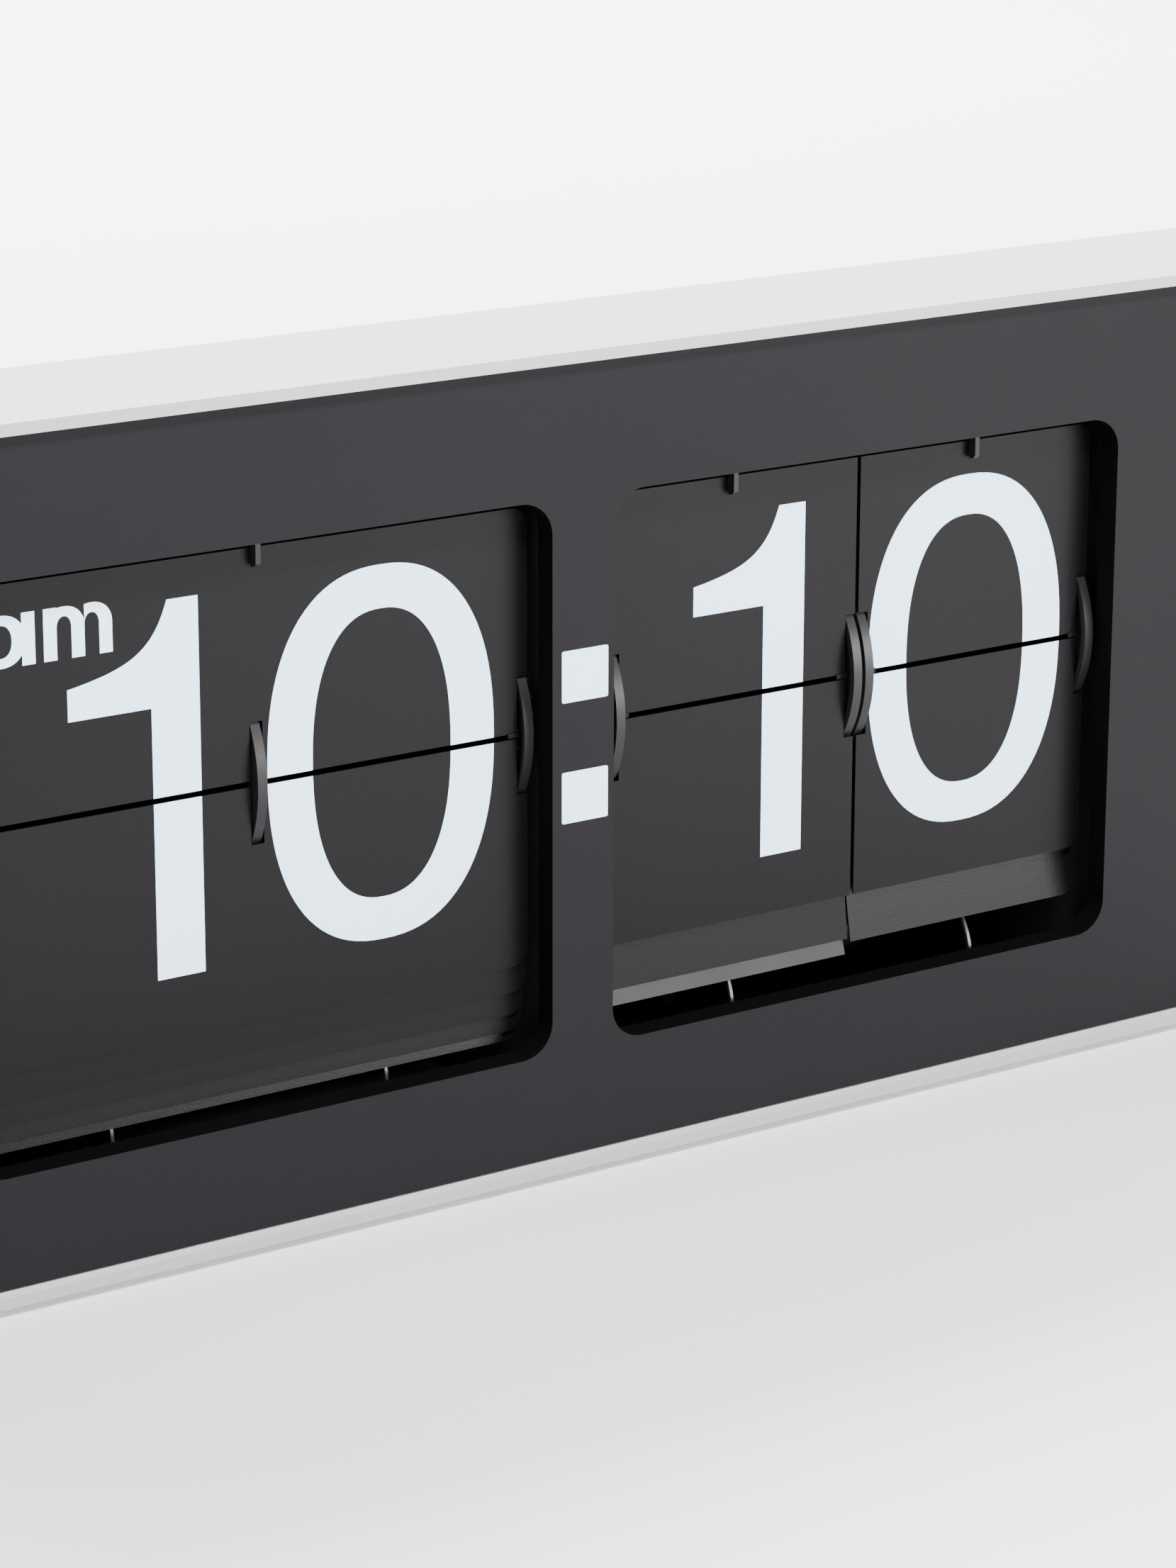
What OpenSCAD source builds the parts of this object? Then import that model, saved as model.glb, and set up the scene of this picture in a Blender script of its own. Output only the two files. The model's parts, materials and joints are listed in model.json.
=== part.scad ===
// Flip number clock: metal sleeve, black front panel with two windows, three leaf drums
// on one axle, gear train, motor, battery and setting wheel.
// Millimetres. +Z is up, the front faces -Y, +X is to the viewer's right.
// The origin is the centre of the footprint at the underside of the feet.

/* [Case] */
// Width of the metal sleeve
case_w = 360; // [350:1:380]
// Height of the metal sleeve, without the feet
case_h = 158; // [157:0.5:161]
// Overall depth from the front rim to the setting wheel
case_d = 85; // [85:0.5:88]
// Depth of the metal sleeve
sleeve_d = 40; // [38:0.5:42]
// Wall thickness of the metal sleeve
wall = 2.2; // [2.1:0.1:2.6]
// Height of the feet under the sleeve
foot_h = 2; // [1.5:0.25:3]

/* [Front panel] */
// Setback of the panel's face behind the sleeve's rim
panel_setback = 2.3; // [1.5:0.1:3]
// Thickness of the panel
panel_t = 2; // [1.6:0.1:2.4]
// Distance from the centre line to a window's inner edge
window_in = 6.6; // [6.2:0.1:7]
// Distance from the centre line to a window's outer edge
window_out = 123.4; // [122.8:0.1:124]
// Height of a window's lower edge above the underside of the sleeve
window_low = 23.3; // [22:0.1:23.8]
// Height of a window's upper edge above the underside of the sleeve
window_high = 130.4; // [130.2:0.1:132]
// Corner radius of a window
window_r = 6.5; // [4:0.5:8]
// Side of one square colon mark
colon_side = 9.9; // [8:0.1:10.5]
// Distance between the centres of the two colon marks
colon_pitch = 23.3; // [20:0.1:28]

/* [Leaves and drums] */
// Height of the drum axis above the underside of the sleeve
axis_up = 84.3; // [84:0.1:84.6]
// Distance of the drum axis behind the sleeve's rim
axis_back = 29.15; // [29:0.05:29.4]
// Radius of the circle on which the leaves are pinned
pin_r = 19.25; // [19.1:0.05:19.4]
// Thickness of a leaf
leaf_t = 0.4; // [0.3:0.05:0.4]
// Reach of the lower leaves below the split line
leaf_len = 45.1; // [44.8:0.1:45.3]
// Reach of the upper leaves above the split line
upper_len = 43.5; // [43:0.1:43.8]
// Gap between the upper and the lower leaf at the split line
split_gap = 1.1; // [0.9:0.1:1.3]
// Corner radius at a leaf's free edge
leaf_r = 3.25; // [2:0.25:4]
// Radius of the hour drum's discs
hour_disc_r = 21.8; // [21.4:0.1:22]
// Radius of the minute drums' discs
minute_disc_r = 22.3; // [22:0.1:22.5]
// Thickness of a disc
disc_t = 1.9; // [1.8:0.05:1.95]

/* [Gear train] */
// Running clearance on radius between shafts and bores
run_fit = 0.05; // [0.03:0.01:0.08]

/* [Hidden] */

front_y = -case_d / 2;
sleeve_back_y = front_y + sleeve_d;
sleeve_z = foot_h;
top_z = foot_h + case_h;
inner_low = sleeve_z + wall;
inner_high = top_z - wall;
inner_half = case_w / 2 - wall;
panel_y = front_y + panel_setback;
panel_back_y = panel_y + panel_t;
sleeve_r_out = 2.5;
sleeve_r_in = 0.8;
foot_x = 150;
front_foot_y = front_y + 16;
front_foot_r = 5.5;
rear_foot_y = case_d / 2 - 13.5;
rear_foot_r = 7;
ledge_end = 6;
ledge_t = 2;
ledge_h = 2.5;
lip_back_y = front_y + 7.5;
lip_t = 1.6;
win_z0 = sleeve_z + window_low;
win_z1 = sleeve_z + window_high;
win_w = window_out - window_in;
win_h = win_z1 - win_z0;
win_x = (window_in + window_out) / 2;
win_z = (win_z0 + win_z1) / 2;
colon_x = 0.3;
colon_t = 0.15;
colon_r = 0.4;
colon_up = 0.65;
ax_y = front_y + axis_back;
ax_z = sleeve_z + axis_up;

// leaf and drum layout
hinge_back = 0.35;
leaf_y = ax_y - pin_r;
hinge_y = leaf_y - hinge_back;
edge_gap = split_gap / 2;
leaf_split = 0.8;
notch_ws = [[2.2, 2.2], [4.4, 2.2], [2.2, 2.2]];
slot_w = 2.6;
finger_w = 1;
finger_low = 3.2;
catch_w = finger_w + 0.2;
catch_h = finger_low + 0.4;
tab_r = leaf_t / 2 - 0.01;
tab_in = 1;
lug_front = 0.1;
tab_len = 0.9;
groove_r0 = 17.2;
groove_r1 = 21;
groove_d = 0.9;
tip_pitch = 0.65;
back_lean = 7.5;
next_back = 0.45;
pin_sag = 1.5;
hour_x0 = -122;
hour_x1 = -7.65;
tens_x0 = 7.9;
tens_x1 = 66.3 - leaf_split / 2;
units_x0 = 66.3 + leaf_split / 2;
units_x1 = 122.2;

// the three leaf groups, in the order hours, tens, units
hour_k = 0;
tens_k = 1;
units_k = 2;
leaf_n = [24, 12, 10];
leaf_x0s = [hour_x0, tens_x0, units_x0];
leaf_x1s = [hour_x1, tens_x1, units_x1];
catch_xs = [-63.5, 36.7, 92.8];
slotted = [true, false, false];
rounded = [[1, 1], [1, 0], [0, 1]];
forward = [4, 2, 1];
swirls = [7, 18, 24];
notch_hs = [for (r = [hour_disc_r, minute_disc_r, minute_disc_r])
  sqrt(r * r - pow(pin_r - next_back - leaf_t / 2, 2)) - edge_gap + 0.1];

// shafts and gears
axle_r = 1.5;
sleeve_r = 2.4;
spool_r = 6;
press = 0.02;
small_t = 12;
set_t = 10;
big_t = 48;
drum_t = 36;
fast_m = 0.8;
slow_m = 1;
gear_w = 2;
centre_d = fast_m * (small_t + big_t) / 2;
pressure = 28;
backlash = 0.08;
plane_hour = -7.5;
plane_units = 0.4;
plane_tens_p = 2.9;
plane_tens = 5.4;
plane_units_g = 122.6;
plane_reduce = 125.2;
carry_a_y = ax_y + centre_d;
carry_a_z = ax_z;
carry_b_y = ax_y;
carry_b_z = ax_z - centre_d;
reduce_y = ax_y + centre_d;
reduce_z = ax_z;
motor_y = reduce_y;
motor_z = reduce_z - centre_d;
set_y = reduce_y + fast_m * (set_t + big_t) / 2;
set_z = reduce_z;
set_r = case_d / 2 - set_y;
thin_r = axle_r - 0.5;

motor_r = 14;
motor_t = 18;

// frame
plate_t = 2;
left_plate_x = -128;
centre_plate_x = -4.7;
right_plate_x = 128;
plate_front = ax_y - 22.45;
plate_step = -13;
bar_r = 2.5;
screw_r = 1.5;
thread_r = 1.25;
head_r = 3;
head_t = 2;
flange_w = 10;
flange_t = 1.5;
flange_xs = [left_plate_x - flange_w / 2, right_plate_x + plate_t + flange_w / 2];
flange_ys = [-31, -17.5];
plate_top = 147;
plate_low = 10;
plate_rear = case_d / 2 - 5.5;
plate_rear_z = 133;
bar_pts = [[30.5, 132], [34.5, 54], [-24, 12]];
catch_bar_y = ax_y - 15.15;
catch_bar_z = ax_z + 52.5;
catch_bar_size = [4, 3];
guide_bar_y = ax_y - 18;
guide_bar_z = ax_z - 69;
guide_bar_size = [4.5, 3];
board_x = right_plate_x + plate_t + 3;
board_t = 1.6;
board_pos = [-30, 98];
board_size = [38, 36];
chip = 12;
crystal_r = 1.6;
finger_gap = 0.1;
finger_nose = 2;
finger_bevel = 0.6;
guides = [[-92.1, -29.7], [-36.3, -29.7], [38.9, -32.1], [95.5, -33.1]];
guide_r = 14;
guide_w = 0.6;
guide_t = 0.8;
guide_turn_z = 21.4;
guide_top_z = 33.7;

// rear housing and battery
rear_y = case_d / 2 - 1.5;
tuck = 5.5;
house_half = inner_half - 0.5;
house_t = 2;
house_z0 = inner_low + 0.3;
house_z1 = inner_high - 0.8;
house_back_z = top_z - 24;
house_r = 6;
side_screw_y = sleeve_back_y - 3;
side_screw_zs = [inner_low + 18, inner_high - 18];
boss_r = 2.6;
vent_n = 8;
vent_pitch = 9;
vent_size = [3, 8, 30];
vent_x = -60;
vent_z = 60;
rib_t = 2.5;
rib_h = 36.2;
bat_r = 17.1;
bat_len = 61.5;
bat_x = 40;
bat_y = rear_y - 19.5;
bat_z = house_z0 + 19.6;
door_x0 = 36.4;
door_x1 = 101.6;
door_z0 = house_z0 + 4.7;
door_z1 = house_z0 + 38.3;
door_gap = 0.4;
door_pin_y = rear_y - 1.8;
door_r = 1.8;
coil_t = 0.6;

metal = [0.86, 0.86, 0.87];
steel = [0.7, 0.71, 0.73];
black = [0.07, 0.07, 0.08];
leaf_black = [0.2, 0.2, 0.21];
nylon = [0.9, 0.9, 0.87];
brass = [0.78, 0.63, 0.3];

// ---------- shared shapes ----------
module rrect(w, h, r) {
  square([w - 2 * r, h], center = true);
  square([w, h - 2 * r], center = true);
  for (i = [-1, 1]) {
    for (j = [-1, 1]) {
      translate([i * (w / 2 - r), j * (h / 2 - r)]) circle(r = r, $fn = 48);
    }
  }
}

// extrude a front view (x, z) from y0 back to y1
module front_extrude(y0, y1) {
  translate([0, y1, 0]) rotate([90, 0, 0]) linear_extrude(y1 - y0) children();
}

// extrude a side view (y, z) from x0 to x1
module side_extrude(x0, x1) {
  translate([x0, 0, 0]) rotate([90, 0, 90]) linear_extrude(x1 - x0) children();
}

module rod_x(x0, x1, y, z, r) {
  translate([x0, y, z]) rotate([0, 90, 0]) cylinder(r = r, h = x1 - x0, $fn = 48);
}

// ---------- gear teeth ----------
function involute(a) = tan(a) * 180 / PI - a;
function flank(r, rb, half) = half + involute(pressure) - involute(acos(min(1, rb / r)));
function polar(r, a) = [r * cos(a), r * sin(a)];

module gear_2d(teeth, m, phase) {
  rp = teeth * m / 2;
  rb = rp * cos(pressure);
  ra = rp + m;
  rr = rp - 1.25 * m;
  half = 90 / teeth - backlash / rp * 180 / PI;
  lo = max(rb, rr);
  radii = [lo, lo + 0.3 * (ra - lo), lo + 0.6 * (ra - lo), lo + 0.82 * (ra - lo), ra];
  pts = [for (t = [0 : teeth - 1]) each concat(
    [polar(rr, phase + 360 / teeth * t - flank(lo, rb, half))],
    [for (r = radii) polar(r, phase + 360 / teeth * t - flank(r, rb, half))],
    [for (i = [4 : -1 : 0]) polar(radii[i], phase + 360 / teeth * t + flank(radii[i], rb, half))],
    [polar(rr, phase + 360 / teeth * t + flank(lo, rb, half))])];
  polygon(pts);
}

module gear_x(x, y, z, teeth, m, phase, bore) {
  translate([0, y, z]) side_extrude(x, x + gear_w) difference() {
    gear_2d(teeth, m, phase);
    circle(r = bore, $fn = 48);
  }
}

// ---------- leaves ----------
// outline of one leaf of group g: x across, y from the hinge side up to the free edge
module leaf_2d(g, reach, caught) {
  x0 = leaf_x0s[g];
  x1 = leaf_x1s[g];
  h = reach - edge_gap;
  ends = rounded[g];
  notch_h = notch_hs[g];
  difference() {
    union() {
      translate([x0, 0]) square([x1 - x0, h - leaf_r]);
      translate([x0 + leaf_r * ends[0], 0]) square([x1 - x0 - leaf_r * (ends[0] + ends[1]), h]);
      if (ends[0] > 0) translate([x0 + leaf_r, h - leaf_r]) circle(r = leaf_r, $fn = 48);
      if (ends[1] > 0) translate([x1 - leaf_r, h - leaf_r]) circle(r = leaf_r, $fn = 48);
    }
    translate([x0 - 1, -1]) square([notch_ws[g][0] + 1, notch_h + 1]);
    translate([x1 - notch_ws[g][1], -1]) square([notch_ws[g][1] + 1, notch_h + 1]);
    if (caught) translate([catch_xs[g] - catch_w / 2, h - catch_h]) square([catch_w, catch_h + 1]);
    if (slotted[g]) translate([catch_xs[g] - slot_w / 2, -1]) square([slot_w, notch_h + 1]);
  }
}

// inner end of the pin on side i, -1 left and 1 right, of a leaf of group g
function tab_x(g, i) = i < 0 ? leaf_x0s[g] + notch_ws[g][0] + tab_in : leaf_x1s[g] - notch_ws[g][1] - tab_in;

// a leaf standing on its pins at the local origin; ext is the strip below the pins
module leaf(g, ext, reach, back = 0, caught = false) {
  translate([0, leaf_t / 2 + back, -ext]) rotate([90, 0, 0]) linear_extrude(leaf_t)
    leaf_2d(g, reach, caught);
  for (i = [-1, 1]) {
    translate([tab_x(g, i), 0, 0]) rotate([0, 90 * i, 0])
      cylinder(r = tab_r, h = tab_in + tab_len, $fn = 24);
  }
}

// angle of pin k round the drum, counted from the front
function pin_angle(g, k) = 180 / leaf_n[g] * (2 * k + 1);
function pin_ext(g) = pin_r * sin(180 / leaf_n[g]) - edge_gap;
function tip_len(g) = leaf_len - edge_gap - pin_ext(g);
// forward tilt of lower leaf k when its tip is held k steps behind the front leaf
function tip_tilt(g, k) = asin((pin_r * (1 - cos(pin_angle(g, k))) - k * tip_pitch) / tip_len(g));
// the leaves behind the front one sag in the discs' grooves
function pin_drop(k) = pin_r + (k == 0 ? 0 : pin_sag);
function hang_tilt(g, k) = (k <= forward[g]) ? tip_tilt(g, k) : (pin_angle(g, k) > 90 ? -back_lean : 0);

module lower_leaves(g) {
  for (k = [0 : leaf_n[g] / 2 - 1]) {
    a = pin_angle(g, k);
    translate([0, (k == 0) ? leaf_y : ax_y - pin_r * cos(a), ax_z - pin_drop(k) * sin(a)])
      rotate([180 - (k == 0 ? 0 : hang_tilt(g, k)), 0, 0]) leaf(g, pin_ext(g), leaf_len);
  }
}

module upper_leaves(g) {
  for (k = [2 : leaf_n[g] / 2 - 1]) {
    a = pin_angle(g, k);
    translate([0, ax_y - pin_r * cos(a), ax_z + pin_r * sin(a)]) rotate([swirls[g] - a, 0, 0])
      leaf(g, pin_ext(g), upper_len);
  }
}

module next_leaf(g) {
  translate([0, leaf_y + next_back, ax_z + edge_gap + tab_r]) leaf(g, tab_r, upper_len);
}

module falling_leaf(g) {
  translate([0, hinge_y, ax_z]) leaf(g, -edge_gap, upper_len, hinge_back, true);
  for (i = [-1, 1]) {
    translate([tab_x(g, i) - tab_in, hinge_y - lug_front, ax_z - tab_r])
      cube([2 * tab_in, lug_front + hinge_back, 2 * tab_r + edge_gap]);
  }
}

// ---------- drums ----------
// a disc with a round groove for the leaf pins on the faces named by left and right
module disc(x, r, left, right) {
  difference() {
    rod_x(x, x + disc_t, ax_y, ax_z, r);
    rod_x(x - 1, x + disc_t + 1, ax_y, ax_z, spool_r + press);
    if (left) ring(x - 1, x + groove_d);
    if (right) ring(x + disc_t - groove_d, x + disc_t + 1);
  }
}

module ring(x0, x1) {
  difference() {
    rod_x(x0, x1, ax_y, ax_z, groove_r1);
    rod_x(x0 - 1, x1 + 1, ax_y, ax_z, groove_r0);
  }
}

module tube_x(x0, x1, y, z, r, bore) {
  difference() {
    rod_x(x0, x1, y, z, r);
    rod_x(x0 - 1, x1 + 1, y, z, bore);
  }
}

// ---------- case ----------
module case_sleeve() color(metal) {
  difference() {
    union() {
      difference() {
        front_extrude(front_y, sleeve_back_y)
          translate([0, sleeve_z + case_h / 2]) rrect(case_w, case_h, sleeve_r_out);
        front_extrude(front_y - 1, sleeve_back_y + 1)
          translate([0, sleeve_z + case_h / 2]) rrect(case_w - 2 * wall, case_h - 2 * wall, sleeve_r_in);
      }
      for (z = [inner_low - 0.5, inner_high - ledge_h]) {
        translate([ledge_end - inner_half, panel_back_y + 0.2, z])
          cube([2 * (inner_half - ledge_end), ledge_t, ledge_h + 0.5]);
      }
    }
    for (x = flange_xs) {
      for (y = flange_ys) {
        translate([x, y, inner_low - 1.5]) cylinder(r = screw_r + press, h = 3, $fn = 24);
      }
    }
    for (i = [-1, 1]) {
      for (z = side_screw_zs) {
        rod_x(i > 0 ? inner_half - 1 : -inner_half - 1.5, i > 0 ? inner_half + 1.5 : -inner_half + 1,
          side_screw_y, z, thread_r + press);
      }
    }
  }
}

module front_panel() color(black) {
  difference() {
    union() {
      front_extrude(panel_y, panel_back_y)
        translate([0, (inner_low + inner_high) / 2])
          rrect(2 * inner_half - 0.6, inner_high - inner_low - 0.6, 1.2);
      for (i = [-1, 1]) {
        front_extrude(panel_y + 1, lip_back_y)
          translate([i * win_x, win_z]) rrect(win_w + 2 * lip_t, win_h + 2 * lip_t, window_r + lip_t);
      }
    }
    for (i = [-1, 1]) {
      front_extrude(panel_y - 1, lip_back_y + 1)
        translate([i * win_x, win_z]) rrect(win_w, win_h, window_r);
    }
  }
}

module colon_marks() color([0.92, 0.94, 0.96]) {
  for (i = [-1, 1]) {
    front_extrude(panel_y - colon_t, panel_y)
      translate([colon_x, ax_z + colon_up + i * colon_pitch / 2]) rrect(colon_side, colon_side, colon_r);
  }
}

module house_side(t) {
  polygon([[sleeve_back_y - tuck - (t > 0 ? 1 : 0), house_z0 + t],
    [rear_y - t, house_z0 + t],
    [rear_y - t, house_back_z - t],
    [sleeve_back_y + 0.3, house_z1 - t],
    [sleeve_back_y - tuck - (t > 0 ? 1 : 0), house_z1 - t]]);
}

// plan view with rounded rear corners
module house_plan(t) {
  half = house_half - t;
  back = rear_y - t;
  r = house_r - t;
  front = sleeve_back_y - tuck - 2;
  translate([-half, front]) square([2 * half, back - r - front]);
  translate([-half + r, front]) square([2 * half - 2 * r, back - front]);
  for (i = [-1, 1]) {
    translate([i * (half - r), back - r]) circle(r = r, $fn = 48);
  }
}

module rear_housing() color([0.1, 0.1, 0.11]) {
  difference() {
    union() {
      difference() {
        intersection() {
          side_extrude(-house_half, house_half) house_side(0);
          linear_extrude(top_z) house_plan(0);
        }
        intersection() {
          side_extrude(-house_half + house_t, house_half - house_t) house_side(house_t);
          linear_extrude(top_z) house_plan(house_t);
        }
      }
      for (x = [door_x0 - door_gap - rib_t, door_x1 + door_gap]) {
        translate([x, bat_y - 9.3, house_z0 + 0.5]) cube([rib_t, rear_y - bat_y + 8.8, rib_h]);
      }
      for (x = [-1, 1]) {
        translate([bat_x + bat_len / 2 + 20 * x - 1.5, bat_y - 12, house_z0 + 0.5])
          cube([3, 24, 8]);
      }
    }
    translate([door_x0 - door_gap, rear_y - 4, door_z0 - door_r - 0.5])
      cube([door_x1 - door_x0 + 2 * door_gap, 8, door_z1 - door_z0 + door_r + 1]);
    rod_x(door_x0 - 2.2, door_x1 + 2.2, door_pin_y, door_z0, 1 + run_fit);
    rod_x(bat_x - 1, bat_x + bat_len + 0.3, bat_y, bat_z, bat_r + 0.3);
    translate([right_plate_x + 2.5, rear_y - 4, set_z - 8.5]) cube([7, 8, 17]);
    for (i = [-1, 1]) {
      for (z = side_screw_zs) {
        rod_x(i > 0 ? house_half - 3 : -house_half - 1, i > 0 ? house_half + 1 : -house_half + 3,
          side_screw_y, z, thread_r + press);
      }
    }
    for (i = [0 : vent_n - 1]) {
      translate([vent_x + vent_pitch * i, rear_y - vent_size[1] / 2, vent_z]) cube(vent_size);
    }
  }
}

module housing_screws() color(steel) {
  for (i = [-1, 1]) {
    for (z = side_screw_zs) {
      rod_x(i > 0 ? house_half - 3 : -house_half - 1.7,
        i > 0 ? house_half + 1.7 : -house_half + 3, side_screw_y, z, thread_r);
      rod_x(i > 0 ? house_half - house_t - 3 : -house_half + house_t,
        i > 0 ? house_half - house_t : -house_half + house_t + 3, side_screw_y, z, boss_r);
    }
  }
}

module front_feet() color(black) {
  for (i = [-1, 1]) {
    translate([i * foot_x, front_foot_y, 0]) cylinder(r = front_foot_r, h = foot_h, $fn = 48);
  }
}

module rear_feet() color(black) {
  for (i = [-1, 1]) {
    translate([i * foot_x, rear_foot_y, 0]) cylinder(r = rear_foot_r, h = house_z0, $fn = 48);
  }
}

// ---------- frame ----------
module plate_2d() {
  difference() {
    polygon([[plate_front, inner_low], [plate_step, inner_low], [plate_step, plate_low],
      [plate_rear, plate_low], [plate_rear, plate_rear_z], [0, plate_top], [plate_front, plate_top]]);
    translate([catch_bar_y, catch_bar_z]) bar_slot(catch_bar_size);
    translate([guide_bar_y, guide_bar_z]) bar_slot(guide_bar_size);
  }
}

module bar_slot(size) {
  square([size[0] + 2 * press, size[1] + 2 * press], center = true);
}

module square_bar(y, z, size) {
  translate([left_plate_x, y - size[0] / 2, z - size[1] / 2])
    cube([right_plate_x + plate_t - left_plate_x, size[0], size[1]]);
}

module bar_holes(r) {
  for (p = bar_pts) {
    translate(p) circle(r = r, $fn = 32);
  }
}

module left_frame_plate() color(steel) {
  side_extrude(left_plate_x, left_plate_x + plate_t) difference() {
    plate_2d();
    bar_holes(screw_r + press);
    translate([ax_y, ax_z]) circle(r = axle_r + press, $fn = 32);
  }
  flange(left_plate_x - flange_w, left_plate_x);
}

module right_frame_plate() color(steel) {
  side_extrude(right_plate_x, right_plate_x + plate_t) difference() {
    plate_2d();
    bar_holes(screw_r + press);
    translate([ax_y, ax_z]) circle(r = axle_r + press, $fn = 32);
    translate([reduce_y, reduce_z]) circle(r = axle_r + press, $fn = 32);
    translate([motor_y, motor_z]) circle(r = 3, $fn = 32);
    translate([set_y, set_z]) circle(r = axle_r + run_fit, $fn = 32);
  }
  flange(right_plate_x + plate_t, right_plate_x + plate_t + flange_w);
}

module flange(x0, x1) {
  difference() {
    translate([x0, plate_front, inner_low]) cube([x1 - x0, plate_step - plate_front, flange_t]);
    for (x = flange_xs) {
      for (y = flange_ys) {
        translate([x, y, 0]) cylinder(r = screw_r + press, h = inner_low + 2 * flange_t, $fn = 24);
      }
    }
  }
}

module centre_frame_plate() color(steel) {
  side_extrude(centre_plate_x, centre_plate_x + plate_t) difference() {
    plate_2d();
    bar_holes(bar_r + press);
    translate([ax_y, ax_z]) circle(r = axle_r + press, $fn = 32);
    translate([carry_a_y, carry_a_z]) circle(r = axle_r + press, $fn = 32);
    translate([carry_b_y, carry_b_z]) circle(r = axle_r + run_fit, $fn = 32);
  }
}

module tie_bars() color(steel) {
  for (p = bar_pts) {
    difference() {
      rod_x(left_plate_x + plate_t, right_plate_x, p[0], p[1], bar_r);
      rod_x(left_plate_x, left_plate_x + 8, p[0], p[1], thread_r + press);
      rod_x(right_plate_x - 6, right_plate_x + 1, p[0], p[1], thread_r + press);
    }
  }
}

module frame_screws() color(steel) {
  for (p = bar_pts) {
    rod_x(left_plate_x - head_t, left_plate_x, p[0], p[1], head_r);
    rod_x(left_plate_x - 0.5, left_plate_x + 7, p[0], p[1], thread_r);
    rod_x(right_plate_x + plate_t, right_plate_x + plate_t + head_t, p[0], p[1], head_r);
    rod_x(right_plate_x - 5, right_plate_x + plate_t + 0.5, p[0], p[1], thread_r);
  }
  for (x = flange_xs) {
    for (y = flange_ys) {
      translate([x, y, inner_low - 1.3]) cylinder(r = screw_r, h = 3.5, $fn = 24);
      translate([x, y, inner_low + flange_t]) cylinder(r = head_r, h = head_t, $fn = 32);
    }
  }
}

module main_axle() color(steel) {
  difference() {
    rod_x(left_plate_x - 3, right_plate_x + plate_t + 3, ax_y, ax_z, axle_r);
    tube_x(left_plate_x - 1.4, left_plate_x - 0.4, ax_y, ax_z, 3, 1);
    tube_x(right_plate_x + plate_t + 0.4, right_plate_x + plate_t + 1.4, ax_y, ax_z, 3, 1);
  }
}

module axle_clips() color(steel) {
  for (x = [left_plate_x - 1.3, right_plate_x + plate_t + 0.5]) {
    side_extrude(x, x + 0.8) difference() {
      translate([ax_y, ax_z]) circle(r = 3.4, $fn = 32);
      translate([ax_y, ax_z]) circle(r = 1 + press, $fn = 32);
      translate([ax_y - 0.8, ax_z - 4]) square([1.6, 4]);
    }
  }
}

module catch_bar() color(steel) {
  square_bar(catch_bar_y, catch_bar_z, catch_bar_size);
}

// a hook over the top of the leaves, with its nose in front of the leaf that is about to fall
module catch_fingers() color(leaf_black) {
  nose_y = leaf_y - leaf_t / 2 - finger_gap;
  front = nose_y - finger_nose;
  low = ax_z + upper_len - finger_low;
  base = catch_bar_y - catch_bar_size[0] / 2;
  bar_low = catch_bar_z - catch_bar_size[1] / 2;
  bar_high = catch_bar_z + catch_bar_size[1] / 2;
  for (x = catch_xs) {
    side_extrude(x - finger_w / 2, x + finger_w / 2) polygon([
      [base, bar_low], [base, bar_high], [nose_y, bar_high], [front, catch_bar_z],
      [front, low + finger_bevel], [front + finger_bevel, low], [nose_y, low], [nose_y, bar_low]]);
  }
}

module guide_bar() color(leaf_black) {
  square_bar(guide_bar_y, guide_bar_z, guide_bar_size);
}

// thin curved fingers behind the tips of the lower leaves
module guide_fingers() color(steel) {
  foot_z = guide_bar_z + guide_bar_size[1] / 2;
  for (g = guides) {
    side_extrude(g[0] - guide_w / 2, g[0] + guide_w / 2) intersection() {
      translate([g[1] + guide_r, guide_turn_z]) difference() {
        circle(r = guide_r + guide_t / 2, $fn = 96);
        circle(r = guide_r - guide_t / 2, $fn = 96);
      }
      translate([g[1] - guide_t, foot_z]) square([guide_r, guide_top_z - foot_z]);
    }
  }
}

// ---------- hour, tens and units leaves ----------
module hour_lower_leaves() color(leaf_black) lower_leaves(hour_k);
module hour_upper_leaves() color(leaf_black) upper_leaves(hour_k);
module hour_next_leaf() color(leaf_black) next_leaf(hour_k);
module hour_falling_leaf() color(leaf_black) falling_leaf(hour_k);
module tens_lower_leaves() color(leaf_black) lower_leaves(tens_k);
module tens_upper_leaves() color(leaf_black) upper_leaves(tens_k);
module tens_next_leaf() color(leaf_black) next_leaf(tens_k);
module tens_falling_leaf() color(leaf_black) falling_leaf(tens_k);
module units_lower_leaves() color(leaf_black) lower_leaves(units_k);
module units_upper_leaves() color(leaf_black) upper_leaves(units_k);
module units_next_leaf() color(leaf_black) next_leaf(units_k);
module units_falling_leaf() color(leaf_black) falling_leaf(units_k);

// ---------- drums ----------
module hour_discs() color(leaf_black) {
  disc(hour_x0, hour_disc_r, false, true);
  disc(catch_xs[hour_k] - disc_t / 2, hour_disc_r, false, false);
  disc(hour_x1 - disc_t, hour_disc_r, true, false);
}

module hour_spool() color(leaf_black) {
  tube_x(hour_x0 - 2.5, plane_hour + gear_w + 0.3, ax_y, ax_z, spool_r, axle_r + run_fit);
}

module hour_gear() color(leaf_black) {
  gear_x(plane_hour, ax_y, ax_z, drum_t, slow_m, -90, spool_r + press);
}

module tens_discs() color(leaf_black) {
  disc(tens_x0 + notch_ws[tens_k][0] - notch_ws[tens_k][1], minute_disc_r, false, true);
  disc(tens_x1 - disc_t, minute_disc_r, true, false);
}

module tens_spool() color(leaf_black) {
  tube_x(plane_tens - 0.2, tens_x1 - 0.3, ax_y, ax_z, spool_r, sleeve_r + run_fit);
}

module tens_gear() color(leaf_black) {
  gear_x(plane_tens, ax_y, ax_z, drum_t, slow_m, 0, spool_r + press);
}

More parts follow.
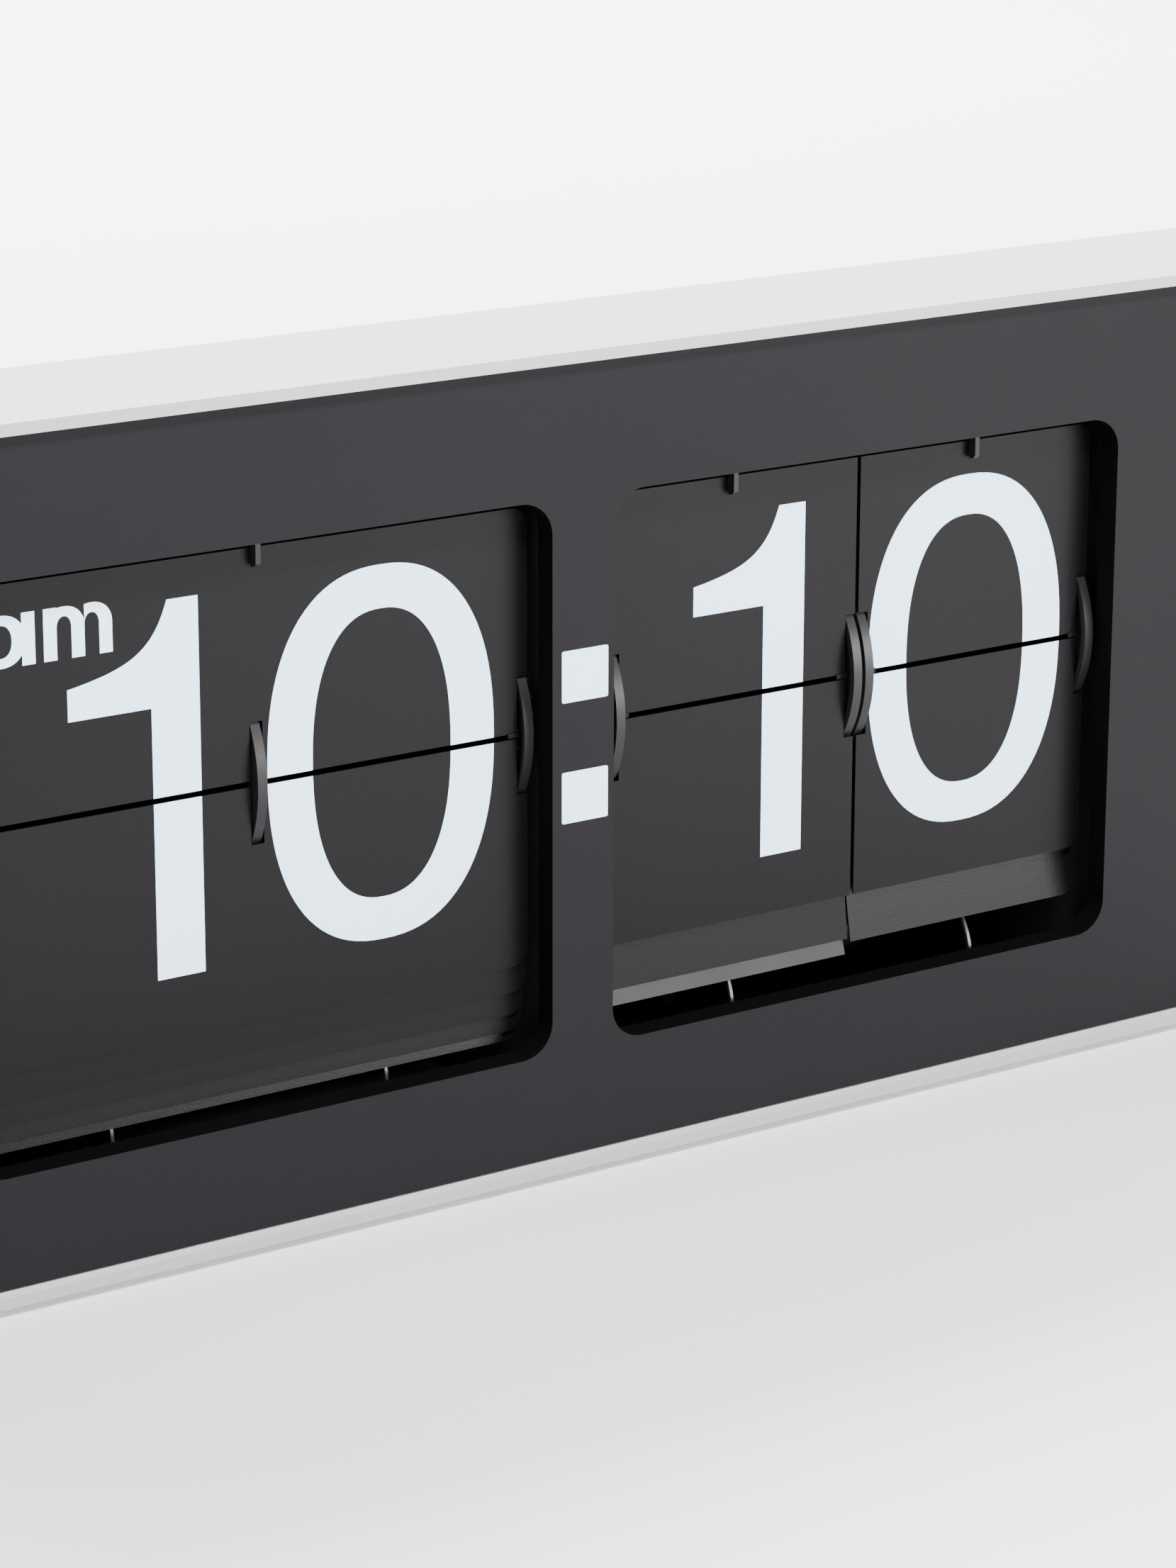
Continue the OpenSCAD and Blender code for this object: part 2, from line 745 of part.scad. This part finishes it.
module tens_pinion() color(nylon) {
  gear_x(plane_tens_p, ax_y, ax_z, small_t, fast_m, -90, sleeve_r + run_fit);
  tube_x(plane_tens_p + gear_w, plane_tens - 0.2, ax_y, ax_z, 3.7, sleeve_r + run_fit);
}

module units_discs() color(leaf_black) {
  disc(units_x0, minute_disc_r, false, true);
  disc(units_x1 - disc_t, minute_disc_r, true, false);
}

module units_sleeve() color(leaf_black) {
  difference() {
    union() {
      rod_x(plane_units - 0.2, tens_x1 + 0.4, ax_y, ax_z, sleeve_r);
      rod_x(tens_x1 + 0.2, plane_units_g + gear_w + 0.3, ax_y, ax_z, spool_r);
    }
    rod_x(plane_units - 1, plane_units_g + gear_w + 1, ax_y, ax_z, axle_r + run_fit);
  }
}

module units_pinion() color(nylon) {
  gear_x(plane_units, ax_y, ax_z, small_t, fast_m, 0, sleeve_r + press);
}

module units_gear() color(leaf_black) {
  gear_x(plane_units_g, ax_y, ax_z, drum_t, slow_m, 0, spool_r + press);
}

// ---------- gear train ----------
module tens_carry_gear() color(nylon) {
  gear_x(plane_units, carry_a_y, carry_a_z, big_t, fast_m, 180 / big_t, axle_r + run_fit);
  tube_x(plane_units + gear_w, plane_tens, carry_a_y, carry_a_z, 4, axle_r + run_fit);
  gear_x(plane_tens, carry_a_y, carry_a_z, small_t, slow_m, 180 + 180 / small_t, axle_r + run_fit);
}

module hour_carry_gear() color(nylon) {
  gear_x(plane_tens_p, carry_b_y, carry_b_z, big_t, fast_m, 90 + 180 / big_t, thin_r);
  gear_x(plane_hour, carry_b_y, carry_b_z, small_t, slow_m, 90 + 180 / small_t, thin_r);
  rod_x(plane_hour, plane_tens_p + gear_w, carry_b_y, carry_b_z, axle_r);
}

module reduction_gear() color(nylon) {
  gear_x(plane_reduce, reduce_y, reduce_z, big_t, fast_m, 0, axle_r + run_fit);
  tube_x(plane_units_g + gear_w, plane_reduce, reduce_y, reduce_z, 4, axle_r + run_fit);
  gear_x(plane_units_g, reduce_y, reduce_z, small_t, slow_m, 180 + 180 / small_t, axle_r + run_fit);
}

module gear_arbors() color(steel) {
  rod_x(centre_plate_x, plane_tens + gear_w + 0.4, carry_a_y, carry_a_z, axle_r);
  rod_x(plane_units_g - 0.2, right_plate_x + plate_t, reduce_y, reduce_z, axle_r);
}

module motor_case() color(steel) {
  difference() {
    rod_x(right_plate_x + plate_t + 0.2, right_plate_x + plate_t + motor_t, motor_y, motor_z, motor_r);
    rod_x(right_plate_x + plate_t - 1, right_plate_x + plate_t + 6, motor_y, motor_z, 2.5);
  }
}

module motor_pinion() color(brass) {
  gear_x(plane_reduce, motor_y, motor_z, small_t, fast_m, 90 + 180 / small_t, 1);
  rod_x(plane_reduce, right_plate_x + plate_t + 5.5, motor_y, motor_z, 1.2);
}

module setting_wheel() color([0.15, 0.15, 0.16]) {
  gear_x(plane_reduce, set_y, set_z, set_t, fast_m, 180 + 180 / set_t, thin_r);
  rod_x(plane_reduce, right_plate_x + plate_t + 9, set_y, set_z, axle_r);
  side_extrude(right_plate_x + plate_t + 1, right_plate_x + plate_t + 7)
    translate([set_y, set_z]) difference() {
      circle(r = set_r, $fn = 64);
      circle(r = thin_r, $fn = 24);
      for (a = [0 : 18 : 342]) {
        rotate([0, 0, a + 9]) translate([set_r + 0.35, 0]) circle(r = 0.8, $fn = 24);
      }
    }
}

module circuit_board() color([0.1, 0.3, 0.18]) {
  translate([board_x, board_pos[0], board_pos[1]]) cube([board_t, board_size[0], board_size[1]]);
  for (y = [board_pos[0] + 4, board_pos[0] + board_size[0] - 6]) {
    for (z = [board_pos[1] + 4, board_pos[1] + board_size[1] - 4]) {
      rod_x(right_plate_x + plate_t, board_x + 0.1, y, z, 2);
    }
  }
  translate([board_x + board_t - 0.1, board_pos[0] + 10, board_pos[1] + 12]) cube([2, chip, chip]);
}

module quartz_crystal() color(metal) {
  rod_x(board_x + board_t, board_x + board_t + 7.4, board_pos[0] + 28, board_pos[1] + 18, crystal_r);
}

// ---------- battery ----------
module battery() color([0.25, 0.25, 0.27]) {
  rod_x(bat_x, bat_x + bat_len - 1.5, bat_y, bat_z, bat_r);
  rod_x(bat_x + bat_len - 2, bat_x + bat_len, bat_y, bat_z, 4.7);
}

module battery_spring() color(steel) {
  x0 = door_x0 - door_gap;
  tube_x(x0, x0 + coil_t, bat_y, bat_z, 7, 5.8);
  tube_x(x0 + 1.5, x0 + 1.5 + coil_t, bat_y, bat_z, 6, 4.8);
  tube_x(x0 + 3, bat_x, bat_y, bat_z, 5, 3.8);
  for (i = [-1, 1]) {
    translate([x0, bat_y + i * 5.4 - 0.5, bat_z - 0.5]) cube([2.1, 1, 1]);
    translate([x0 + 1.5, bat_y + i * 4.7 - 0.5, bat_z - 0.5]) cube([bat_x - x0 - 1.5, 1, 1]);
  }
}

module battery_contact() color(steel) {
  translate([bat_x + bat_len, bat_y - 6, bat_z - 6]) cube([door_x1 + door_gap - bat_x - bat_len, 12, 12]);
}

module battery_door() color([0.1, 0.1, 0.11]) {
  difference() {
    union() {
      translate([door_x0, door_pin_y - 0.2, door_z0]) cube([door_x1 - door_x0, 2, door_z1 - door_z0]);
      rod_x(door_x0, door_x1, door_pin_y, door_z0, door_r);
      rod_x(door_x0 - 2, door_x1 + 2, door_pin_y, door_z0, 1);
    }
    translate([(door_x0 + door_x1) / 2 - 8, rear_y - 0.8, door_z1 - 6]) cube([16, 2, 3]);
  }
}

// ---------- assembly ----------
case_sleeve();
front_panel();
colon_marks();
rear_housing();
housing_screws();
front_feet();
rear_feet();
left_frame_plate();
centre_frame_plate();
right_frame_plate();
tie_bars();
frame_screws();
main_axle();
axle_clips();
catch_bar();
catch_fingers();
guide_bar();
guide_fingers();
hour_lower_leaves();
hour_upper_leaves();
hour_next_leaf();
tens_lower_leaves();
tens_upper_leaves();
tens_next_leaf();
units_lower_leaves();
units_upper_leaves();
units_next_leaf();
motor_case();
circuit_board();
quartz_crystal();
battery();
battery_spring();
battery_contact();
gear_arbors();
hour_discs();
hour_spool();
hour_gear();
tens_discs();
tens_spool();
tens_gear();
tens_pinion();
units_discs();
units_sleeve();
units_pinion();
units_gear();
tens_carry_gear();
hour_carry_gear();
reduction_gear();
motor_pinion();
setting_wheel();
battery_door();
hour_falling_leaf();
tens_falling_leaf();
units_falling_leaf();
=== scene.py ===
"""Looks for the flip number clock: materials, printed numerals, studio light and camera.

Works in metres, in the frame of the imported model: +Z up, the windows face -Y.
"""

import json
import math

import bmesh
import bpy
from mathutils import Matrix, Vector


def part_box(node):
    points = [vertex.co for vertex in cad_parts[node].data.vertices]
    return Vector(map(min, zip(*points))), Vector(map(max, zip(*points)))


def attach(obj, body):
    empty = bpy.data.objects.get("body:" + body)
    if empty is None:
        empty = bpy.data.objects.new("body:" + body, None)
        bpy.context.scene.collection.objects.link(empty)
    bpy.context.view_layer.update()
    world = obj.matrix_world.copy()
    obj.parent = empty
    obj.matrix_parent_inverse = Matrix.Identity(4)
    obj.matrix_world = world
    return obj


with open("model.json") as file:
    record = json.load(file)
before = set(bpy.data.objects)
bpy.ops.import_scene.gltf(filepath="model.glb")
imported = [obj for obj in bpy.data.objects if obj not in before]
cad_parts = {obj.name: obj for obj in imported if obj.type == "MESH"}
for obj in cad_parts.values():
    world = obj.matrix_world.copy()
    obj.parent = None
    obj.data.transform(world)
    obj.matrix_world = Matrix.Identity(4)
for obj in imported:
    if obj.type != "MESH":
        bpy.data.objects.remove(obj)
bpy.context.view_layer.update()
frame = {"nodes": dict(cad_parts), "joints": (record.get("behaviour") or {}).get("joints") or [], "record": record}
nodes = frame["nodes"]
MM = 0.001


# ---------------------------------------------------------------- materials
class Shader:
    """A node material under construction, with short helpers for its texture nodes."""

    def __init__(self, name, colour, roughness, metallic=0.0, specular=0.5):
        self.material = bpy.data.materials.new(name)
        self.material.use_nodes = True
        self.tree = self.material.node_tree
        self.bsdf = self.tree.nodes["Principled BSDF"]
        self.bsdf.inputs["Base Color"].default_value = (*colour, 1.0)
        self.bsdf.inputs["Roughness"].default_value = roughness
        self.bsdf.inputs["Metallic"].default_value = metallic
        self.bsdf.inputs["Specular IOR Level"].default_value = specular
        self.colour = colour
        self.roughness = roughness
        self.height = None

    def node(self, kind, **settings):
        made = self.tree.nodes.new(kind)
        for key, value in settings.items():
            setattr(made, key, value)
        return made

    def link(self, a, b):
        self.tree.links.new(a, b)

    def noise(self, scale, detail=3.0, stretch=(1.0, 1.0, 1.0)):
        place = self.node("ShaderNodeTexCoord")
        mapping = self.node("ShaderNodeMapping")
        mapping.inputs["Scale"].default_value = stretch
        texture = self.node("ShaderNodeTexNoise")
        texture.inputs["Scale"].default_value = scale
        texture.inputs["Detail"].default_value = detail
        self.link(place.outputs["Object"], mapping.inputs["Vector"])
        self.link(mapping.outputs["Vector"], texture.inputs["Vector"])
        return texture.outputs["Fac"]

    def spread(self, source, low, high):
        remap = self.node("ShaderNodeMapRange")
        remap.inputs["To Min"].default_value = low
        remap.inputs["To Max"].default_value = high
        self.link(source, remap.inputs["Value"])
        return remap.outputs["Result"]

    def vary_roughness(self, source, amount):
        value = self.spread(source, self.roughness - amount, self.roughness + amount)
        self.link(value, self.bsdf.inputs["Roughness"])

    def vary_colour(self, source, amount):
        mix = self.node("ShaderNodeMix", data_type="RGBA")
        dark = tuple(c * (1.0 - amount) for c in self.colour)
        light = tuple(min(1.0, c * (1.0 + amount)) for c in self.colour)
        mix.inputs["A"].default_value = (*dark, 1.0)
        mix.inputs["B"].default_value = (*light, 1.0)
        self.link(source, mix.inputs["Factor"])
        self.link(mix.outputs["Result"], self.bsdf.inputs["Base Color"])

    def bump(self, source, depth, strength=1.0):
        bump = self.node("ShaderNodeBump")
        bump.inputs["Distance"].default_value = depth
        bump.inputs["Strength"].default_value = strength
        self.link(source, bump.inputs["Height"])
        if self.height is not None:
            self.link(self.height, bump.inputs["Normal"])
        self.height = bump.outputs["Normal"]
        self.link(self.height, self.bsdf.inputs["Normal"])


def grained(name, colour, roughness, grain=2600.0, depth=0.02 * MM, tone=0.12, **extra):
    """Moulded or sprayed surface: fine grain, a broad drift of tone and sheen."""
    s = Shader(name, colour, roughness, **extra)
    fine = s.noise(grain, 2.0)
    broad = s.noise(24.0, 4.0)
    s.vary_colour(fine, tone)
    s.vary_roughness(broad, 0.06)
    s.bump(fine, depth)
    return s.material


def brushed(name, colour, roughness, metallic, along=(0.02, 1.0, 1.0), scale=3600.0, depth=0.006 * MM):
    """Metal with fine drawn lines along one axis."""
    s = Shader(name, colour, roughness, metallic)
    lines = s.noise(scale, 3.0, along)
    s.vary_colour(lines, 0.05)
    s.vary_roughness(lines, 0.07)
    s.bump(lines, depth)
    return s.material


def plain(name, colour, roughness, metallic=0.0, specular=0.5):
    """Small or inner part: smooth with a slight cloudiness."""
    s = Shader(name, colour, roughness, metallic, specular)
    cloud = s.noise(90.0, 5.0)
    s.vary_colour(cloud, 0.10)
    s.vary_roughness(cloud, 0.06)
    s.bump(s.noise(1500.0, 2.0), 0.008 * MM)
    return s.material


materials = {
    "sleeve_metal": brushed("sleeve_metal", (0.74, 0.745, 0.75), 0.42, 0.15),
    # Front rim: the sleeve's brushed metal darkened as painted shade for the forward-facing rim, not a different
    # finish.
    "sleeve_rim_painted_shade": brushed("sleeve_rim_painted_shade", (0.31, 0.312, 0.317), 0.38, 0.25),
    "panel_black": grained("panel_black", (0.0076, 0.0070, 0.0084), 0.55, specular=0.08),
    # Window walls: near-black with no specular, painted shade for the shaded walls inside the window recesses.
    "window_wall_painted_shade": grained("window_wall_painted_shade", (0.003, 0.003, 0.003), 0.9, specular=0.0),
    "housing_black": grained("housing_black", (0.012, 0.012, 0.013), 0.55, 1200.0, 0.06 * MM, specular=0.25),
    "leaf": grained("leaf", (0.0027, 0.0024, 0.0030), 0.33, 2200.0, 0.02 * MM, 0.25, specular=0.12),
    "mark_white": grained("mark_white", (0.61, 0.80, 1.0), 0.5, 1600.0, 0.004 * MM, 0.02),
    "rubber_feet": grained("rubber_feet", (0.03, 0.03, 0.03), 0.8, 900.0, 0.05 * MM),
    "steel": brushed("steel", (0.56, 0.57, 0.59), 0.35, 0.95, (1.0, 1.0, 0.05), 1400.0),
    "guide_steel": plain("guide_steel", (0.022, 0.022, 0.024), 0.35),
    "frame_black": plain("frame_black", (0.006, 0.006, 0.006), 0.7),
    "dark_plastic": plain("dark_plastic", (0.0085, 0.0083, 0.009), 0.42, specular=0.25),
    "gear_plastic": plain("gear_plastic", (0.78, 0.77, 0.72), 0.4),
    "brass": plain("brass", (0.72, 0.53, 0.22), 0.3, 0.95),
    "board_green": plain("board_green", (0.03, 0.16, 0.08), 0.35),
    "battery_sleeve": plain("battery_sleeve", (0.10, 0.10, 0.12), 0.3),
}
for part in frame["record"]["subparts"]:
    thing = nodes[part["node"]]
    thing.data.materials.clear()
    thing.data.materials.append(materials[part["material_slot"]])


# Where the windows' cut edges lie, in mm: distance from the middle, and height.
WINDOW_X = (6.4, 123.6)
WINDOW_Z = (25.1, 132.6)


def paint_window_wall_shade(panel):
    """The cut edges of the two windows get a near-black colour without reflection, darker than the panel's face:
    painted shade for the deep window walls.
    """
    panel.data.materials.append(materials["window_wall_painted_shade"])
    low, high = WINDOW_X
    for face in panel.data.polygons:
        x, _, z = face.center / MM
        if abs(face.normal.y) < 0.5 and low < abs(x) < high and WINDOW_Z[0] < z < WINDOW_Z[1]:
            face.material_index = 1


def paint_front_rim_shade(sleeve):
    """The sleeve's front faces get a much darker copy of the anodised outside's brushed metal: painted shade for
    faces that take less light than the top.
    """
    sleeve.data.materials.append(materials["sleeve_rim_painted_shade"])
    for face in sleeve.data.polygons:
        if face.normal.y < -0.9:
            face.material_index = 1


paint_window_wall_shade(nodes["front_panel"])
paint_front_rim_shade(nodes["case_sleeve"])


# ---------------------------------------------------------------- printed characters
PRINT = 0.03 * MM  # thickness of the print
LIFT = 0.012 * MM  # gap between a leaf and its print
CURVE_STEPS = 40


def strip(outer, inner):
    """Faces between two rows of points of equal length."""
    return [(outer[i], outer[i + 1], inner[i + 1], inner[i]) for i in range(len(outer) - 1)]


def superellipse(cx, cz, a, b, power, t):
    c, s = math.cos(t), math.sin(t)
    x = a * math.copysign(abs(c) ** (2.0 / power), c)
    z = b * math.copysign(abs(s) ** (2.0 / power), s)
    return (cx + x, cz + z)


def ring(cx, cz, a, b, stroke_x, stroke_z, power=2.35, start=0.0, end=2 * math.pi, steps=96):
    """A closed or open round stroke, as faces."""
    ts = [start + (end - start) * i / steps for i in range(steps + 1)]
    outer = [superellipse(cx, cz, a, b, power, t) for t in ts]
    inner = [superellipse(cx, cz, a - stroke_x, b - stroke_z, power, t) for t in ts]
    return strip(outer, inner)


def box_face(x0, z0, x1, z1):
    return [((x0, z0), (x1, z0), (x1, z1), (x0, z1))]


def bezier(p0, p1, p2, p3, steps=CURVE_STEPS):
    points = []
    for i in range(steps + 1):
        t = i / steps
        w = ((1 - t) ** 3, 3 * t * (1 - t) ** 2, 3 * t * t * (1 - t), t ** 3)
        points.append(tuple(sum(k * p[axis] for k, p in zip(w, (p0, p1, p2, p3))) for axis in (0, 1)))
    return points


# Digit sizes in mm: x from the digit's right or middle, z above the split line.
DIGIT_TOP = 36.4
DIGIT_BOTTOM = -33.4
STEM = 9.35
ZERO_W = 46.6
ZERO_TOP = 36.85
ZERO_BOTTOM = -34.15
ZERO_STROKE = (9.1, 8.15)
HEAD_W = 6.0
FLAG_X = 25.2
FLAG_TOP = 13.5
FLAG_LOW = 19.3
HOLLOW_BENDS = ((8.9, 9.2), (13.6, 11.4))  # left of and below the 1's top right corner
# The 2: half width and half height of its head, strokes, foot, and the head's arc and roundness.
TWO_HALF = (21.5, 20.5)
TWO_STROKE = (9.1, 7.9)
TWO_FOOT = 8.0
TWO_ARC = (math.radians(172), math.radians(-28))
TWO_POWER = 2.2


def digit_one(x):
    """The digit 1 with its right side at x: a stem, and a flag under a hollow curve."""
    bends = [(-across, -down) for across, down in HOLLOW_BENDS]
    hollow = bezier((-HEAD_W, 0.0), *bends, (-FLAG_X, -FLAG_TOP))
    curve = [(x + p[0], DIGIT_TOP + p[1]) for p in hollow]
    under = [(p[0], DIGIT_TOP - FLAG_LOW) for p in curve]
    faces = strip(curve, under)
    faces += box_face(x - HEAD_W, DIGIT_TOP - FLAG_LOW, x, DIGIT_TOP)
    faces += box_face(x - STEM, DIGIT_BOTTOM, x, DIGIT_TOP - FLAG_LOW)
    return faces


def digit_zero(x):
    """The digit 0 centred on x."""
    half_h = (ZERO_TOP - ZERO_BOTTOM) / 2
    return ring(x, (ZERO_TOP + ZERO_BOTTOM) / 2, ZERO_W / 2, half_h, *ZERO_STROKE)


def digit_two(x):
    """The digit 2 centred on x: a round head, a sweeping neck and a flat foot."""
    r_x, r_z = TWO_HALF
    cz = ZERO_TOP - r_z
    head = ring(x, cz, r_x, r_z, *TWO_STROKE, TWO_POWER, *TWO_ARC, 60)
    outer_a = superellipse(x, cz, r_x, r_z, TWO_POWER, TWO_ARC[1])
    inner_a = superellipse(x, cz, r_x - TWO_STROKE[0], r_z - TWO_STROKE[1], TWO_POWER, TWO_ARC[1])
    foot = DIGIT_BOTTOM + TWO_FOOT
    outer_b, inner_b = (x - 9.5, foot), (x - r_x, foot)
    outer = bezier(outer_a, (outer_a[0] - 4.5, outer_a[1] - 9.0), (x - 3.0, foot + 9.0), outer_b)
    inner = bezier(inner_a, (inner_a[0] - 4.5, inner_a[1] - 7.5), (x - r_x, foot + 15.0), inner_b)
    return head + strip(outer, inner) + box_face(x - r_x, DIGIT_BOTTOM, x + r_x, foot)


def clip_faces(faces, x_min):
    """Keeps the part of convex faces right of x_min."""
    kept = []
    for face in faces:
        out = []
        for a, b in zip(face, face[1:] + face[:1]):
            if a[0] >= x_min:
                out.append(a)
            if (a[0] - x_min) * (b[0] - x_min) < 0:
                t = (x_min - a[0]) / (b[0] - a[0])
                out.append((x_min, a[1] + t * (b[1] - a[1])))
        if len(out) > 2:
            kept.append(tuple(out))
    return kept


def clip_right(faces, x_max):
    """Keeps the part of convex faces left of x_max."""
    flipped = [tuple((-p[0], p[1]) for p in face) for face in faces]
    return [tuple((-p[0], p[1]) for p in face[::-1]) for face in clip_faces(flipped, -x_max)]


def letters_am(x, z):
    """Small a and m, right side of the m at x, feet at z above the split line."""
    height, stroke, thin, gap = 9.4, 2.45, 1.75, 2.76
    rise, bowl, bowl_in, letter_gap = 3.9, 4.7, 0.6, 1.6
    half = stroke + gap / 2
    arch_z = z + height - rise
    right = x - half
    left = right - stroke - gap
    faces = []
    for cx in (right, left):
        arch = ring(cx, arch_z, half, rise, stroke, thin, 2.2, 0.0, math.pi, 32)
        faces += clip_faces(arch, cx - half + stroke)
        faces += box_face(cx + half - stroke, z, cx + half, arch_z)
    faces += box_face(left - half, z, left - half + stroke, z + height)
    stem = left - half - letter_gap - stroke
    round_a = ring(stem + bowl_in - bowl, z + height / 2, bowl, height / 2, stroke, thin, 2.3, steps=48)
    faces += clip_right(round_a, stem)
    faces += box_face(stem, z, stem + stroke, z + height)
    return faces


def printed(name, faces, face_y, keep, body, back_of=None):
    """Thin print on a leaf: faces in mm round the split line, keep is 'upper' or 'lower'.

    back_of is the hinge (y, z) of a leaf whose far side carries the print, as seen once it has fallen.
    """
    bm = bmesh.new()
    for face in faces:
        corners = [bm.verts.new((p[0] * MM, face_y, SPLIT_Z + p[1] * MM)) for p in face]
        bm.faces.new(corners)
    bmesh.ops.remove_doubles(bm, verts=bm.verts, dist=0.002 * MM)
    sign = 1.0 if keep == "upper" else -1.0
    edge = Vector((0.0, 0.0, SPLIT_Z + sign * EDGE_GAP))
    bmesh.ops.bisect_plane(bm, geom=bm.verts[:] + bm.edges[:] + bm.faces[:], plane_co=edge,
                           plane_no=(0.0, 0.0, sign), clear_inner=True)
    for face in bm.faces:
        face.normal_update()
        if face.normal.y > 0:
            face.normal_flip()
    base = bm.faces[:]
    raised = bmesh.ops.extrude_face_region(bm, geom=base)
    lifted = [v for v in raised["geom"] if isinstance(v, bmesh.types.BMVert)]
    bmesh.ops.translate(bm, verts=lifted, vec=(0.0, -PRINT, 0.0))
    bmesh.ops.recalc_face_normals(bm, faces=bm.faces[:])
    mesh = bpy.data.meshes.new(name)
    bm.to_mesh(mesh)
    bm.free()
    if back_of is not None:
        centre = Vector((0.0, *back_of))
        turn = Matrix.Translation(centre) @ Matrix.Rotation(math.pi, 4, "X") @ Matrix.Translation(-centre)
        mesh.transform(turn)
    mesh.materials.append(materials["mark_white"])
    piece = bpy.data.objects.new(name, mesh)
    bpy.context.scene.collection.objects.link(piece)
    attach(piece, body)
    return piece


joints = {j["name"]: j for j in frame["joints"]}
HINGE_Y, SPLIT_Z = joints["hour_leaf_fall"]["pos_m"][1:]
next_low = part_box("hour_next_leaf")[0]
LEAF_SETBACK = 0.15 * MM  # from the hinge axis to the front of an upright leaf
LEAF_T = 0.4 * MM
LEAF_FRONT = HINGE_Y + LEAF_SETBACK
LEAF_BACK = LEAF_FRONT + LEAF_T
EDGE_GAP = 0.55 * MM  # from the split line to the edge of a leaf
NEXT_FRONT = next_low.y

hour_low, hour_high = (c.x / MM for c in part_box("hour_falling_leaf"))
tens_low, tens_high = (c.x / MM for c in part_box("tens_falling_leaf"))
units_low, units_high = (c.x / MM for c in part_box("units_falling_leaf"))

# Places of the characters in mm: right side of a 1, middle of a 0, right side and feet of "am".
ONE_HALF = 9.0
ONE_HOUR_X = hour_low + 47.6
ZERO_HOUR_X = hour_high - 30.45
ONE_TENS_X = tens_high - 12.0
ZERO_UNITS_X = units_low + 25.8
AM_X = hour_low + 31.2
AM_Z = 28.6

hour_now = digit_one(ONE_HOUR_X) + digit_zero(ZERO_HOUR_X)
hour_then = digit_one(ONE_HOUR_X) + digit_one(ZERO_HOUR_X + ONE_HALF)
tens_now = digit_one(ONE_TENS_X)
tens_then = digit_two((tens_low + tens_high) / 2)
units_now = digit_zero(ZERO_UNITS_X)
units_then = digit_one((units_low + units_high) / 2 + ONE_HALF)
am = letters_am(AM_X, AM_Z)

for group, now, then, extra in (
    ("hour", hour_now, hour_then, am),
    ("tens", tens_now, tens_then, []),
    ("units", units_now, units_then, []),
):
    leaf_body = group + "_leaf"
    printed(group + "_print_upper", now + extra, LEAF_FRONT - LIFT, "upper", leaf_body)
    printed(group + "_print_lower", now, LEAF_FRONT - LIFT, "lower", "clock_frame")
    fallen_front = 2 * HINGE_Y - LEAF_BACK - LIFT
    printed(group + "_print_back", then, fallen_front, "lower", leaf_body, (HINGE_Y, SPLIT_Z))
    printed(group + "_print_next", then + extra, NEXT_FRONT - LIFT, "upper", "clock_frame")


# ---------------------------------------------------------------- studio
def studio_floor():
    bpy.ops.mesh.primitive_plane_add(size=12.0, location=(0.0, 0.0, 0.0))
    floor = bpy.context.object
    floor.name = "studio_floor"
    s = Shader("studio_floor", (0.9, 0.9, 0.9), 0.7, specular=0.2)
    s.vary_colour(s.noise(3.0, 3.0), 0.01)
    floor.data.materials.append(s.material)


def area_light(name, place, aim, size, power):
    data = bpy.data.lights.new(name, "AREA")
    data.shape = "RECTANGLE"
    data.size, data.size_y = size
    data.energy = power
    light = bpy.data.objects.new(name, data)
    light.location = place
    light.rotation_mode = "QUATERNION"
    light.rotation_quaternion = (Vector(aim) - Vector(place)).to_track_quat("-Z", "Y")
    bpy.context.scene.collection.objects.link(light)


def world_light(level):
    world = bpy.data.worlds.new("studio")
    world.use_nodes = True
    background = world.node_tree.nodes["Background"]
    background.inputs["Color"].default_value = (1.0, 1.0, 1.0, 1.0)
    background.inputs["Strength"].default_value = level
    bpy.context.scene.world = world


def camera(aim, yaw, pitch, roll, distance, lens, shift_y):
    """Camera left of and above the clock, looking right and down; angles in degrees."""
    a, e, r = map(math.radians, (yaw, pitch, roll))
    forward = Vector((math.sin(a) * math.cos(e), math.cos(a) * math.cos(e), -math.sin(e)))
    right = Vector((math.cos(a), -math.sin(a), 0.0))
    up = right.cross(forward)
    x_axis = math.cos(r) * right + math.sin(r) * up
    y_axis = -math.sin(r) * right + math.cos(r) * up
    data = bpy.data.cameras.new("camera")
    data.lens = lens
    data.sensor_width = 36.0
    data.shift_y = shift_y
    data.clip_start, data.clip_end = 0.01, 50.0
    view = bpy.data.objects.new("camera", data)
    turn = Matrix((x_axis, y_axis, -forward)).transposed().to_4x4()
    view.matrix_world = Matrix.Translation(Vector(aim) - forward * distance) @ turn
    bpy.context.scene.collection.objects.link(view)
    bpy.context.scene.camera = view


studio_floor()
world_light(0.45)
area_light("key", (-0.10, -0.75, 0.95), (0.0, 0.0, 0.1), (0.35, 0.2), 30.0)
area_light("low_front", (0.84, -1.31, 0.32), (0.0, 0.0, 0.06), (0.7, 0.42), 36.0)
area_light("sweep", (0.5, 1.3, 1.6), (0.5, 2.0, 0.0), (3.0, 1.6), 360.0)
camera((0.0009, -0.0402, 0.13705), 31.36, 13.92, 0.11, 0.7425, 93.91, -0.2)
